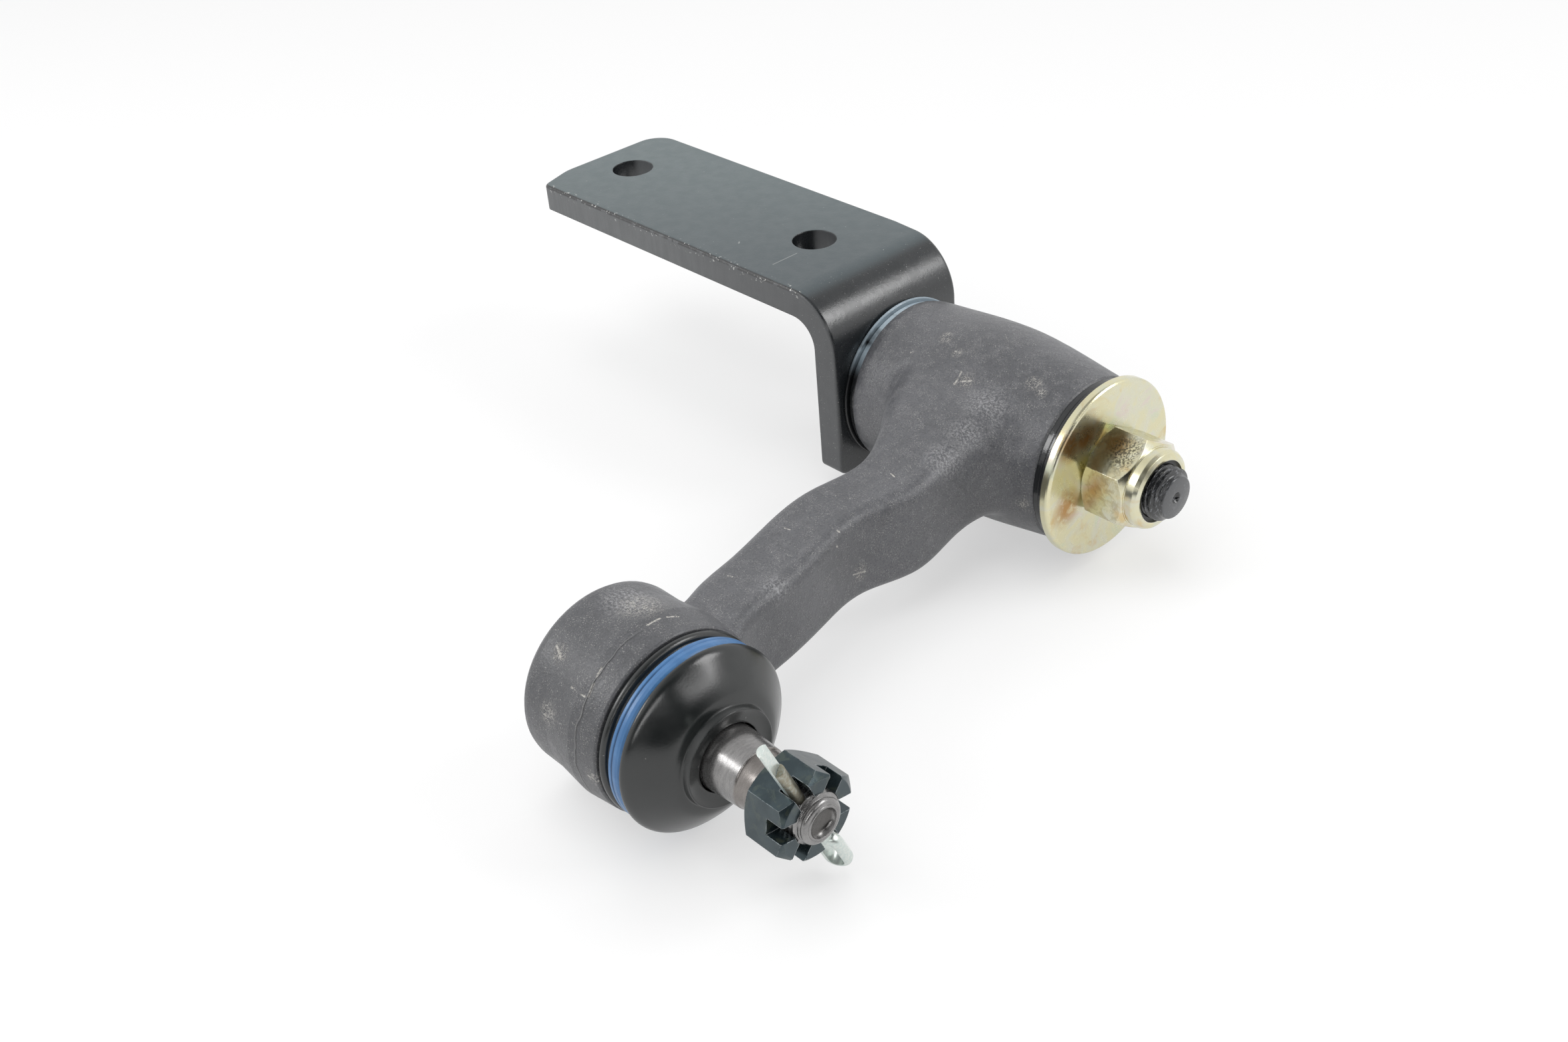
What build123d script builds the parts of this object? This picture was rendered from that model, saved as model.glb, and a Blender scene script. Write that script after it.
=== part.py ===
from build123d import *
import math
import os

# Idler arm: a bent bracket carries a pivot shaft, a forged arm swings on it, and a ball
# stud sits in the far end of the arm. Millimetres and degrees throughout.
# The sizes are laid out from the pivot: X runs along the pivot axis, away from the
# bracket's leg and towards the nut, Z is up, and the arm reaches along -Y.
# Stations along X are measured from the face of the leg that the arm runs against.

# Bracket
plate_thickness = 7.8
plate_top = 31.5
plate_reach = 129.7
plate_near = -25.0
plate_far = 23.4
bend_radius = 15.5
leg_drop = 20.8
leg_far_trim = 2.0
leg_far_trim_start = -24.0
leg_corner = 2.5
bolt_hole_radius = 6.25
bolt_spacing = 81.0
bolt_end_margin = 15.8
end_trim_length = 3.6
end_trim_width = 11.0
end_trim_blend = 14.0
end_corner = 8.0
edge_roll = 0.9

# Fits
running_fit = 0.05
seat_fit = 0.02
soft_gap = 0.3

# How far a cut runs on past the face it opens
over = 1.0

# Pivot shaft and what is clamped on it
journal_radius = 9.5
shaft_tail_radius = 9.0
shaft_head_radius = 13.0
shaft_head_length = 3.2
shaft_head_chamfer = 2.5
thrust_washer_thickness = 0.9
thrust_washer_radius = 22.9
thrust_washer_edge = 0.2
barrel_start = 2.9
barrel_parting = 36.0
barrel_end = 65.2
clamp_face = 68.7
washer_radius = 23.6
washer_thickness = 2.7
washer_rear_edge = 0.3
washer_front_edge = 0.9
pivot_thread_radius = 7.0
pivot_tip_radius = 5.6
pivot_tip_chamfer = 0.8
pivot_thread_end = 88.9
pivot_end = 92.0
centre_mark_radius = 1.3
centre_mark_depth = 0.9

# Bushes
bush_bore_radius = journal_radius + running_fit
bush_wall = 3.25
bush_outer_radius = bush_bore_radius + bush_wall
bush_gap = 8.3
bush_flange_radius = 22.0
bush_flange_edge = 0.5
front_flange_radius = 21.6
front_ring_radius = 22.0
front_ring_edge = 0.4
front_ring_thickness = 1.9

# Barrel outside, as radii
barrel_rear_radius = 22.1
barrel_shoulder_radius = 23.4
barrel_shoulder = 6.0
barrel_parting_radius = 25.5
barrel_crown_drop = 0.3
barrel_front_radius = 21.9
barrel_edge = 0.7
barrel_bore_radius = bush_outer_radius + seat_fit
bush_length = (barrel_end - barrel_start - bush_gap) / 2
junction_blend = 8.0

# Locking nut
pivot_nut_flats = 22.0
pivot_nut_turn = -29.9
pivot_nut_hex_height = 12.6
pivot_nut_height = 16.3
pivot_nut_chamfer = 1.7
collar_radius = 10.4
collar_edge = 1.5
collar_opening = 8.2
collar_groove = 9.0
collar_lip = 0.7
insert_width = 2.6
hexagon_edge = 0.2

# Ball end, measured from its own axis
ball_y = -134.2
ball_z = -2.9
ball_x = 51.5
ball_radius = 12.5
ball_flat_radius = 3.8
housing_rear = 36.0
housing_front = 63.2
housing_parting = 55.0
housing_waist = 46.0
housing_parting_radius = 23.05
housing_rear_radius = 22.1
housing_front_radius = 22.2
housing_bore_radius = 16.0
housing_shoulder = 60.0
housing_edge = 3.2
housing_front_edge = 0.4
spigot_radius = 18.6
spigot_end = 70.3
mouth_radius = 11.6
mouth_end_radius = 15.3
cover_thickness = 1.5
cover_radius = 17.0
rolled_lip = 0.6
rolled_lip_radius = 15.4
cup_start = 39.7
cup_end = 45.8
cup_hole_radius = 5.8
seat_mouth_radius = 11.3
spring_outer_radius = 14.5
spring_inner_radius = 7.6
spring_thickness = 0.7
seat_parting_gap = 0.2

# Ball stud
neck_radius = 7.9
taper_start = 77.0
taper_end = 89.2
taper_end_radius = 7.15
relief_start = 90.2
relief_radius = 5.95
stud_thread_start = 94.8
stud_thread_radius = 6.0
stud_thread_end = 106.8
stud_tip_radius = 5.2
stud_tip_chamfer = 0.5
stud_end = 108.3
stud_hole_radius = 2.45
stud_hole_depth = 6.0

# Castle nut and split pin
castle_flats = 19.0
castle_turn = -38.9
castle_start = 95.2
castle_height = 11.2
castle_slot_width = 4.0
castle_slot_depth = 4.6
castle_chamfer = 1.6
castle_rear_chamfer = 1.0
pin_hole_clearance = 0.25
pin_angle = 113.1
pin_turn = -63.0
pin_radius = 1.5
pin_gap = 0.12
pin_floor_gap = 0.1
pin_long_leg = 24.0
pin_short_leg = 16.6
pin_eye_start = 10.5
pin_eye_radius = 2.4
pin_eye_span = 5.8
pin_eye_round = 1.3

# Dust boot and its ring
boot_bead_radius = 21.8
boot_groove_radius = 20.3
boot_bead_edge = 0.5
boot_groove_start = 65.2
boot_groove_end = 70.75
boot_crown_radius = 22.0
boot_crown_edge = 0.3
boot_crown = 71.0
boot_lip_radius = 11.4
boot_lip_end = 80.6
boot_lip_length = 4.5
boot_lip_wall = 1.6
boot_lip_edge = 0.5
boot_waist_radius = 12.2
boot_waist = 78.7
ring_side_gap = 0.3
ring_width = 3.7
ring_thickness = 1.0

# The boot's skirt outside and inside, as rows of distance past the crown and drop from it
boot_skirt = (
    (0.0, 0.0),
    (0.7, 0.1),
    (1.7, 0.7),
    (2.8, 1.9),
    (4.6, 3.9),
    (6.7, 6.9),
    (7.5, 8.4),
)
boot_skirt_inside = (
    (5.2, 11.5),
    (2.5, 3.9),
    (0.2, 1.8),
)

# The ring's outer face, as rows of share of its width and drop from its outer radius
ring_rows = (
    (0.0, 0.3),
    (0.07, 0.0),
    (0.24, 0.0),
    (0.32, 0.2),
    (0.4, 0.0),
    (0.62, 0.0),
    (0.82, 0.2),
    (1.0, 0.7),
)

# Rows of the arm between barrel and ball end: (y, rear x, front x, bottom z, top z, corner radius).
# The rows at its root take their front, heights and corners from the barrel.
arm_root = barrel_parting_radius
arm_rows = (
    (-8.0, 10.0, barrel_end - 8.2, -0.667 * arm_root, 0.835 * arm_root, 0.55 * arm_root),
    (-18.0, 14.0, barrel_end - 7.2, -0.494 * arm_root, 0.737 * arm_root, 0.47 * arm_root),
    (-28.0, 20.5, barrel_end - 10.2, -0.486 * arm_root, 0.643 * arm_root, 0.35 * arm_root),
    (-38.0, 28.0, 53.8, -13.2, 13.6, 6.0),
    (-50.0, 33.2, 54.2, -14.4, 11.2, 4.2),
    (-66.0, 32.3, 51.2, -13.7, 10.5, 3.5),
    (-82.0, 34.3, 54.1, -13.0, 9.9, 3.5),
    (-98.0, 38.4, 57.4, -13.2, 9.6, 3.5),
    (-110.0, 41.2, 60.2, -13.6, 9.5, 3.5),
    (-120.0, 42.4, 61.2, -13.6, 9.8, 3.5),
)

plate_middle_x = bolt_end_margin + bolt_spacing / 2 - plate_reach


def at_origin(shape):
    """Moves a shape so that the middle of the bolt holes, on the plate's outer face, is the origin."""
    return Pos(-plate_middle_x, 0, -plate_top) * shape


def turned(points):
    """A solid of revolution about X from its (x, radius) corners."""
    outline = Polyline(*[(x, radius, 0) for x, radius in points], close=True)
    return revolve(make_face(outline), Axis.X)


def on_ball_axis(shape):
    """Moves a shape turned about X onto the axis of the ball end."""
    return Pos(0, ball_y, ball_z) * shape


def rod(start, end, radius):
    """A plain cylinder along X."""
    return turned([(start, 0), (start, radius), (end, radius), (end, 0)])


def arc_points(centre_x, radius, first, last, count):
    """Points (x, radius) of a circle about (centre_x, 0), angles in degrees from +X."""
    step = (last - first) / (count - 1)
    angles = [math.radians(first + step * i) for i in range(count)]
    return [(centre_x + radius * math.cos(a), radius * math.sin(a)) for a in angles]


def hexagon_bar(flats, turn, start, height, chamfer_rear, chamfer_front):
    """A hexagon bar along X whose corners are turned off at both ends."""
    bar = extrude(RegularPolygon(flats / math.sqrt(3), 6), height)
    bar = Pos(start, 0, 0) * Rot(turn + 90, 0, 0) * Rot(0, 90, 0) * bar
    corner = flats / math.sqrt(3)
    flat = flats / 2
    end = start + height
    blank = turned([
        (start, 0),
        (start, flat - hexagon_edge),
        (start + chamfer_rear, corner + hexagon_edge),
        (end - chamfer_front, corner + hexagon_edge),
        (end, flat - hexagon_edge),
        (end, 0),
    ])
    return bar & blank


def bracket():
    """Bent plate with two bolt holes, and the hole in the leg that the shaft is riveted in."""
    inner = plate_top - plate_thickness
    corners = [
        (-plate_reach, plate_top),
        (0, plate_top),
        (0, -leg_drop),
        (-plate_thickness, -leg_drop),
        (-plate_thickness, inner),
        (-plate_reach, inner),
    ]
    side = make_face(Polyline(*corners, close=True))
    outer_corner = side.vertices().filter_by(lambda v: v.X > -0.01 and v.Y > plate_top - 0.01)
    side = fillet(outer_corner, bend_radius)
    inner_corner = side.vertices().filter_by(
        lambda v: abs(v.X + plate_thickness) < 0.01 and abs(v.Y - inner) < 0.01)
    side = fillet(inner_corner, bend_radius - plate_thickness)
    width = plate_far - plate_near
    solid = extrude(Plane.XZ * side, -width)
    solid = Pos(0, plate_near, 0) * solid
    solid = trimmed_end(solid)
    leg_ends = solid.edges().filter_by(Axis.X).filter_by(lambda e: e.center().Z < -leg_drop + 0.01)
    solid = fillet(leg_ends, leg_corner)
    rims = solid.edges().filter_by(Axis.X).filter_by(lambda e: e.center().Z > plate_top - 0.01)
    solid = fillet(rims, edge_roll)
    for side_sign in (-0.5, 0.5):
        hole = Cylinder(bolt_hole_radius, 4 * plate_thickness)
        solid -= Pos(plate_middle_x + side_sign * bolt_spacing, 0, plate_top) * hole
    solid -= rod(-2 * plate_thickness, plate_thickness, shaft_tail_radius + seat_fit)
    return solid


def trimmed_end(solid):
    """Rounds the far corner of the plate's end and trims the near one."""
    end = -plate_reach
    outline = Polyline(
        (end, plate_near + end_trim_width),
        (end + end_trim_length, plate_near),
        (1, plate_near),
        (1, plate_far - leg_far_trim),
        (leg_far_trim_start, plate_far),
        (end, plate_far),
        close=True,
    )
    plan = make_face(outline)
    far = plan.vertices().filter_by(lambda v: v.X < end + 0.01 and v.Y > plate_far - 0.01)
    plan = fillet(far, end_corner)
    soft = plan.vertices().filter_by(
        lambda v: v.X < end + 0.01 and abs(v.Y - plate_near - end_trim_width) < 0.01)
    plan = fillet(soft, end_trim_blend)
    near = plan.vertices().filter_by(
        lambda v: abs(v.X - end - end_trim_length) < 0.01 and v.Y < plate_near + 0.01)
    plan = fillet(near, leg_corner)
    tall = extrude(plan, 4 * plate_top, both=True)
    return solid & tall


def pivot_shaft():
    """Shaft riveted in the leg, with a journal for the bushes and a threaded end."""
    leg_back = -plate_thickness
    profile = [
        (leg_back - shaft_head_length, 0),
        (leg_back - shaft_head_length, shaft_head_radius - shaft_head_chamfer),
        (leg_back - shaft_head_length / 2, shaft_head_radius),
        (leg_back, shaft_head_radius),
        (leg_back, shaft_tail_radius),
        (0, shaft_tail_radius),
        (0, journal_radius),
        (clamp_face, journal_radius),
        (clamp_face, pivot_thread_radius),
        (pivot_thread_end, pivot_thread_radius),
        (pivot_thread_end + pivot_tip_chamfer, pivot_tip_radius),
        (pivot_end, pivot_tip_radius),
        (pivot_end, centre_mark_radius),
        (pivot_end - centre_mark_depth, 0),
    ]
    return turned(profile)


def ring(start, end, inner, outer, rear_edge, front_edge):
    """A ring along X, with its outer corners taken off by the two edges."""
    return turned([
        (start, inner),
        (start, outer - rear_edge),
        (start + rear_edge, outer),
        (end - front_edge, outer),
        (end, outer - front_edge),
        (end, inner),
    ])


def thrust_washer():
    """Thin disc between the leg and the rear bush."""
    return ring(
        0, thrust_washer_thickness, journal_radius + running_fit, thrust_washer_radius,
        thrust_washer_edge, thrust_washer_edge)


def rear_bush():
    """Flanged bush at the leg's end of the barrel."""
    face = thrust_washer_thickness + running_fit
    return turned([
        (face, bush_bore_radius),
        (face, bush_flange_radius - bush_flange_edge),
        (face + bush_flange_edge, bush_flange_radius),
        (barrel_start, bush_flange_radius),
        (barrel_start, bush_outer_radius),
        (barrel_start + bush_length, bush_outer_radius),
        (barrel_start + bush_length, bush_bore_radius),
    ])


def front_bush():
    """Flanged bush at the nut's end of the barrel."""
    face = clamp_face - running_fit - front_ring_thickness
    return turned([
        (barrel_end - bush_length, bush_bore_radius),
        (barrel_end - bush_length, bush_outer_radius),
        (barrel_end, bush_outer_radius),
        (barrel_end, front_flange_radius),
        (face, front_flange_radius),
        (face, bush_bore_radius),
    ])


def front_ring():
    """Slide ring between the front bush's flange and the washer."""
    face = clamp_face - running_fit
    return ring(
        face - front_ring_thickness, face, bush_bore_radius, front_ring_radius,
        front_ring_edge, front_ring_edge)


def pivot_washer():
    """Large washer clamped by the locking nut, rolled over at its front edge."""
    hole = pivot_thread_radius + running_fit
    rim = clamp_face + washer_thickness - washer_front_edge
    roll = arc_points(rim, washer_front_edge, 90, 0, 4)
    return turned([
        (clamp_face, hole),
        (clamp_face, washer_radius - washer_rear_edge),
        (clamp_face + washer_rear_edge, washer_radius),
    ] + [(x, washer_radius - washer_front_edge + lift) for x, lift in roll] + [
        (clamp_face + washer_thickness, hole),
    ])


def pivot_nut():
    """Locking nut: hexagon, rolled collar and the groove that holds the insert."""
    start = clamp_face + washer_thickness
    shoulder = start + pivot_nut_hex_height
    end = start + pivot_nut_height
    body = hexagon_bar(
        pivot_nut_flats, pivot_nut_turn, start, pivot_nut_hex_height, pivot_nut_chamfer, pivot_nut_chamfer)
    collar = turned([
        (shoulder - pivot_nut_chamfer, 0),
        (shoulder - pivot_nut_chamfer, collar_radius),
        (end - collar_edge, collar_radius),
        (end - collar_edge / 3, collar_radius - collar_edge / 3),
        (end, collar_radius - collar_edge),
        (end, 0),
    ])
    body += collar
    body -= rod(start - over, end + over, pivot_thread_radius + running_fit)
    body -= rod(end - collar_lip - insert_width, end - collar_lip, collar_groove)
    body -= rod(end - collar_lip - over, end + over, collar_opening)
    return body


def nut_insert():
    """Locking ring held in the collar of the nut."""
    end = clamp_face + washer_thickness + pivot_nut_height - collar_lip - seat_fit
    start = end - insert_width + 2 * seat_fit
    return ring(start, end, pivot_thread_radius + running_fit, collar_groove - seat_fit, seat_fit, seat_fit)


def barrel_blank():
    """Outside of the barrel: a draft each way from its parting plane, with a soft crown between them."""
    front = barrel_end - barrel_edge
    rear_draft = (barrel_parting_radius - barrel_shoulder_radius) / (barrel_parting - barrel_shoulder)
    front_draft = (barrel_front_radius - barrel_parting_radius) / (front - barrel_parting)
    rear_end = Polyline(
        (barrel_start, 0, 0),
        (barrel_start, barrel_rear_radius, 0),
        (barrel_start + barrel_edge, barrel_rear_radius + barrel_edge, 0),
        (barrel_shoulder, barrel_shoulder_radius, 0),
    )
    drafts = Spline(
        (barrel_shoulder, barrel_shoulder_radius, 0),
        (barrel_parting, barrel_parting_radius - barrel_crown_drop, 0),
        (front, barrel_front_radius, 0),
        tangents=((1, rear_draft, 0), (1, front_draft, 0)),
    )
    front_end = Polyline(
        (front, barrel_front_radius, 0),
        (barrel_end, barrel_front_radius - barrel_edge, 0),
        (barrel_end, 0, 0),
        (barrel_start, 0, 0),
    )
    return revolve(make_face([rear_end, drafts, front_end]), Axis.X)


def housing_blank():
    """Outside of the ball housing with the spigot that the boot sits round."""
    back = arc_points(housing_rear + housing_edge, housing_edge, 180, 90, 5)
    rim = housing_rear_radius - housing_edge
    rounded = [(x, rim + lift) for x, lift in back]
    return on_ball_axis(turned([(housing_rear, 0)] + rounded + [
        (housing_waist, housing_rear_radius),
        (housing_parting, housing_parting_radius),
        (housing_front - housing_front_edge, housing_front_radius),
        (housing_front, housing_front_radius - housing_front_edge),
        (housing_front, spigot_radius),
        (spigot_end, spigot_radius),
        (spigot_end, 0),
    ]))


def housing_hollow():
    """Bore, mouth and cover seat of the ball housing."""
    cover_seat = housing_rear + rolled_lip
    bore_start = cover_seat + cover_thickness
    return on_ball_axis(turned([
        (housing_rear - over, 0),
        (housing_rear - over, rolled_lip_radius),
        (cover_seat, rolled_lip_radius),
        (cover_seat, cover_radius),
        (bore_start, cover_radius),
        (bore_start, housing_bore_radius),
        (housing_shoulder, housing_bore_radius),
        (housing_shoulder, mouth_radius),
        (spigot_end, mouth_end_radius),
        (spigot_end + over, mouth_end_radius),
        (spigot_end + over, 0),
    ]))


def arm_bar():
    """The jogged arm between barrel and ball end, lofted through its rows."""
    sections = []
    for y, rear, front, bottom, top, corner in arm_rows:
        centre = ((rear + front) / 2, y, (bottom + top) / 2)
        plane = Plane(origin=centre, x_dir=(1, 0, 0), z_dir=(0, -1, 0))
        sections.append(plane * RectangleRounded(front - rear, top - bottom, corner))
    return loft(Sketch() + sections)


def arm():
    """The forging: barrel, arm and ball housing in one piece, with its bores."""
    bar = arm_bar()
    barrel = barrel_blank()
    joined = bar + barrel
    joined = fillet(new_edges(bar, barrel, combined=joined), junction_blend)
    solid = joined + housing_blank()
    solid -= rod(barrel_start - over, barrel_end + over, barrel_bore_radius)
    solid -= housing_hollow()
    return solid


def ball_seat():
    """Front bearing shell between the ball and the housing."""
    radius = ball_radius + running_fit
    start = cup_end + seat_parting_gap
    end = housing_shoulder - running_fit
    first = math.degrees(math.asin(seat_mouth_radius / radius))
    last = math.degrees(math.acos((start - ball_x) / radius))
    hollow = arc_points(ball_x, radius, first, last, 13)
    return on_ball_axis(turned(
        [(end, seat_mouth_radius + soft_gap)] + hollow
        + [(start, housing_bore_radius - running_fit), (end, housing_bore_radius - running_fit)]))


def seat_cup():
    """Rear bearing shell, pushed against the ball by its spring."""
    radius = ball_radius + running_fit
    first = math.degrees(math.acos((cup_end - ball_x) / radius))
    last = 180 - math.degrees(math.asin(cup_hole_radius / radius))
    hollow = arc_points(ball_x, radius, first, last, 9)
    return on_ball_axis(turned(
        [(cup_end, housing_bore_radius - running_fit)] + hollow
        + [(cup_start, cup_hole_radius), (cup_start, housing_bore_radius - running_fit)]))


def seat_spring():
    """Conical spring washer between the cover and the cup."""
    low = housing_rear + rolled_lip + cover_thickness + seat_fit
    high = cup_start - seat_fit
    return on_ball_axis(turned([
        (low, spring_outer_radius),
        (low + spring_thickness, spring_outer_radius),
        (high, spring_inner_radius),
        (high - spring_thickness, spring_inner_radius),
    ]))


def end_cover():
    """Disc closed into the back of the housing."""
    start = housing_rear + rolled_lip + seat_fit
    end = start + cover_thickness - 2 * seat_fit
    return on_ball_axis(rod(start, end, cover_radius - seat_fit))


def ball_stud():
    """Ball, neck, taper and threaded end, with the pin hole and the end drilling."""
    last = math.degrees(math.asin(neck_radius / ball_radius))
    first = 180 - math.degrees(math.asin(ball_flat_radius / ball_radius))
    ball = arc_points(ball_x, ball_radius, first, last, 19)
    profile = [(ball[0][0], 0)] + ball + [
        (taper_start, neck_radius),
        (taper_end, taper_end_radius),
        (relief_start, relief_radius),
        (stud_thread_start, relief_radius),
        (stud_thread_start, stud_thread_radius),
        (stud_thread_end, stud_thread_radius),
        (stud_thread_end + stud_tip_chamfer, stud_tip_radius),
        (stud_end - stud_tip_chamfer, stud_tip_radius),
        (stud_end, stud_tip_radius - stud_tip_chamfer),
        (stud_end, stud_hole_radius),
        (stud_end - stud_hole_depth, stud_hole_radius),
        (stud_end - stud_hole_depth - stud_hole_radius / 2, 0),
    ]
    drill = Cylinder(pin_radius + pin_hole_clearance, 4 * stud_thread_radius)
    solid = turned(profile) - Pos(pin_station(), 0, 0) * Rot(pin_angle - 90, 0, 0) * drill
    return on_ball_axis(solid)


def pin_station():
    """Where the split pin crosses the stud, just clear of the floor of the nut's slots."""
    return castle_start + castle_height - castle_slot_depth + pin_radius + pin_floor_gap


def castle_nut():
    """Hexagon nut with six slots in its outer end."""
    end = castle_start + castle_height
    solid = hexagon_bar(
        castle_flats, castle_turn, castle_start, castle_height, castle_rear_chamfer, castle_chamfer)
    solid -= rod(castle_start - over, end + over, stud_thread_radius + running_fit)
    slot = Box(2 * castle_slot_depth, castle_slot_width, castle_flats)
    slot = Pos(end, 0, castle_flats / 2) * slot
    for i in range(6):
        solid -= Rot(castle_turn - 60 + 60 * i, 0, 0) * slot
    return on_ball_axis(solid)


def pin_leg(side, length):
    """One half-round leg of the pin, on the given side of its seam."""
    total = length + pin_eye_start
    half = Cylinder(pin_radius, total) & (Pos(0, side * (pin_radius + pin_gap / 2), 0) * Box(
        4 * pin_radius, 2 * pin_radius, 2 * total))
    return Pos(0, 0, total / 2 - pin_eye_start) * half


def cotter_pin():
    """Split pin, driven in straight and not yet spread, with its short leg on the outer side."""
    solid = pin_leg(-1, pin_long_leg) + pin_leg(1, pin_short_leg) + pin_eye()
    solid = Pos(pin_station(), 0, 0) * Rot(pin_angle - 90, 0, 0) * Rot(0, 0, pin_turn) * solid
    return on_ball_axis(solid)


def pin_eye():
    """The pin's eye, a long loop of wire that is flat inside and round outside."""
    wire = pin_radius - pin_gap / 2
    middle = pin_eye_start + pin_eye_span / 2 + pin_eye_radius
    eye = extrude(SlotCenterToCenter(pin_eye_span, 2 * pin_eye_radius + wire), pin_radius, both=True)
    eye = fillet(eye.faces().filter_by(Axis.Z).edges(), pin_eye_round)
    eye -= extrude(SlotCenterToCenter(pin_eye_span, 2 * pin_eye_radius - wire), 2 * pin_radius, both=True)
    return Pos(0, 0, -middle) * Rot(0, 90, 0) * eye


def dust_boot():
    """Rubber boot: bead, groove for the ring, domed skirt and a stepped lip on the stud."""
    base = housing_front + soft_gap
    inner = spigot_radius + soft_gap
    slope = (neck_radius - taper_end_radius) / (taper_end - taper_start)
    lip_bore = neck_radius - slope * (boot_waist - taper_start) + soft_gap
    crown = [(boot_crown + past, boot_crown_radius - drop) for past, drop in boot_skirt]
    hollow = [(boot_crown + past, boot_crown_radius - drop) for past, drop in boot_skirt_inside]
    bead = [
        (base, inner),
        (base, boot_bead_radius - boot_bead_edge),
        (base + boot_bead_edge, boot_bead_radius),
        (boot_groove_start, boot_bead_radius),
        (boot_groove_start, boot_groove_radius),
        (boot_groove_end, boot_groove_radius),
        (boot_groove_end, boot_crown_radius - boot_crown_edge),
    ]
    lip = [
        (boot_waist, boot_waist_radius),
        (boot_waist + boot_lip_edge, boot_lip_radius),
        (boot_lip_end - boot_lip_edge, boot_lip_radius),
        (boot_lip_end, boot_lip_radius - boot_lip_edge),
        (boot_lip_end, boot_lip_radius - boot_lip_wall),
        (boot_lip_end - boot_lip_edge, lip_bore),
        (boot_lip_end - boot_lip_length, lip_bore),
    ]
    return on_ball_axis(turned(bead + crown + lip + hollow + [(spigot_end, inner)]))


def boot_ring():
    """Ring that clamps the boot on the spigot, with a shallow groove round it."""
    start = boot_groove_end - ring_side_gap - ring_width
    end = boot_groove_end - ring_side_gap
    inner = boot_groove_radius + soft_gap
    outer = inner + ring_thickness
    face = [(start + share * ring_width, outer - drop) for share, drop in ring_rows]
    return on_ball_axis(turned([(start, inner)] + face + [(end, inner)]))


parts = {
    "bracket": bracket,
    "pivot_shaft": pivot_shaft,
    "thrust_washer": thrust_washer,
    "arm": arm,
    "rear_bush": rear_bush,
    "front_bush": front_bush,
    "front_ring": front_ring,
    "pivot_washer": pivot_washer,
    "pivot_nut": pivot_nut,
    "nut_insert": nut_insert,
    "ball_seat": ball_seat,
    "seat_cup": seat_cup,
    "seat_spring": seat_spring,
    "end_cover": end_cover,
    "ball_stud": ball_stud,
    "castle_nut": castle_nut,
    "cotter_pin": cotter_pin,
    "dust_boot": dust_boot,
    "boot_ring": boot_ring,
}

os.makedirs("parts", exist_ok=True)
for name, make in parts.items():
    export_step(at_origin(make()), os.path.join("parts", name + ".step"))
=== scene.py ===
import math

import bpy
from mathutils import Matrix, Vector

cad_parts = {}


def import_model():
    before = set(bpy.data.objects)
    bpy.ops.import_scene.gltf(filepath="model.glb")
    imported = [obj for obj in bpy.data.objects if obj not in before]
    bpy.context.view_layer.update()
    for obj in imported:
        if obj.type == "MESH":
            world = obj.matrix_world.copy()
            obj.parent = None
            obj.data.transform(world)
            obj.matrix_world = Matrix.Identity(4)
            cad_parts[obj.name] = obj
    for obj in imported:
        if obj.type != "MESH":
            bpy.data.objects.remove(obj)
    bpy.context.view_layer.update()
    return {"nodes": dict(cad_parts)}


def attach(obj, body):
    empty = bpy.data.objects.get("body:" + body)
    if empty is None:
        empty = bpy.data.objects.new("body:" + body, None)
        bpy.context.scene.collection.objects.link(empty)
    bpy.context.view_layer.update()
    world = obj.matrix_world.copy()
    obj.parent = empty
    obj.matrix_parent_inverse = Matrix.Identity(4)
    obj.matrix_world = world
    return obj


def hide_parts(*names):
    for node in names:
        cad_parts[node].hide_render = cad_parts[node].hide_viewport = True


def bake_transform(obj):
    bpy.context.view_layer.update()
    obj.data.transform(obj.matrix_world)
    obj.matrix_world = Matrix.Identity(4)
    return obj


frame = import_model()
cad = frame["nodes"]

# Sizes in millimetres, laid out from the pivot: X along the pivot axis, Z up, the arm along -Y.
# ORIGIN turns them into the frame that the CAD parts stand in.
MM_PER_M = 1000
ORIGIN = Vector((73.4, 0.0, -31.5))
BALL_X = 51.5
BALL_Y = -134.2
BALL_Z = -2.9
BALL_RADIUS = 12.5
PIVOT_AXIS = (0.0, 0.0)
BALL_AXIS = (BALL_Y, BALL_Z)

# The bracket's plate: the height of its outer face and the y of its near edge.
PLATE_FACE = 31.5
PLATE_EDGE = -24.7

# Places along X: the ball housing's parting seam, the yellow washer's face, the end of the nut's flats,
# the end of the pivot shaft and the groove of the blue ring.
SEAM = 57.2
WASHER_FACE = 71.5
NUT_TOP = 83.6
SHAFT_END = 91.7
RING_GROOVE = 68.0

# The ball stud: its relief along X, the dish in its end, and the split pin with the way to its short leg.
STUD_RELIEF = (89.0, 95.0)
STUD_END = (107.3, BALL_Y, BALL_Z)
DISH_RADIUS = 3.3
PIN_CENTRE = (103.4, BALL_Y, BALL_Z)
PIN_SHORT_SIDE = (0.891, 0.418, 0.178)


def spot(x, y, z):
    """A point given from the pivot, as a point of the CAD frame in metres."""
    return (Vector((x, y, z)) + ORIGIN) / MM_PER_M


# Meshes

# Points round a turned piece, and the angle in degrees from which its edges stay sharp.
SEGMENTS = 96
SHARP_ANGLE = 38

# A screw thread's slope, and the share of its depth that is cut off as a flat root.
FLANK = 1.3
ROOT_FLAT = 0.12


def thread(crest, root, pitch):
    """Radius of a screw thread as a function of x and the angle round the axis."""
    def radius(x, angle):
        turn = (x / pitch - angle / (2 * math.pi)) % 1.0
        rise = min(1.0, max(0.0, FLANK * abs(2 * turn - 1) - ROOT_FLAT))
        return root + (crest - root) * rise
    return radius


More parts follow.
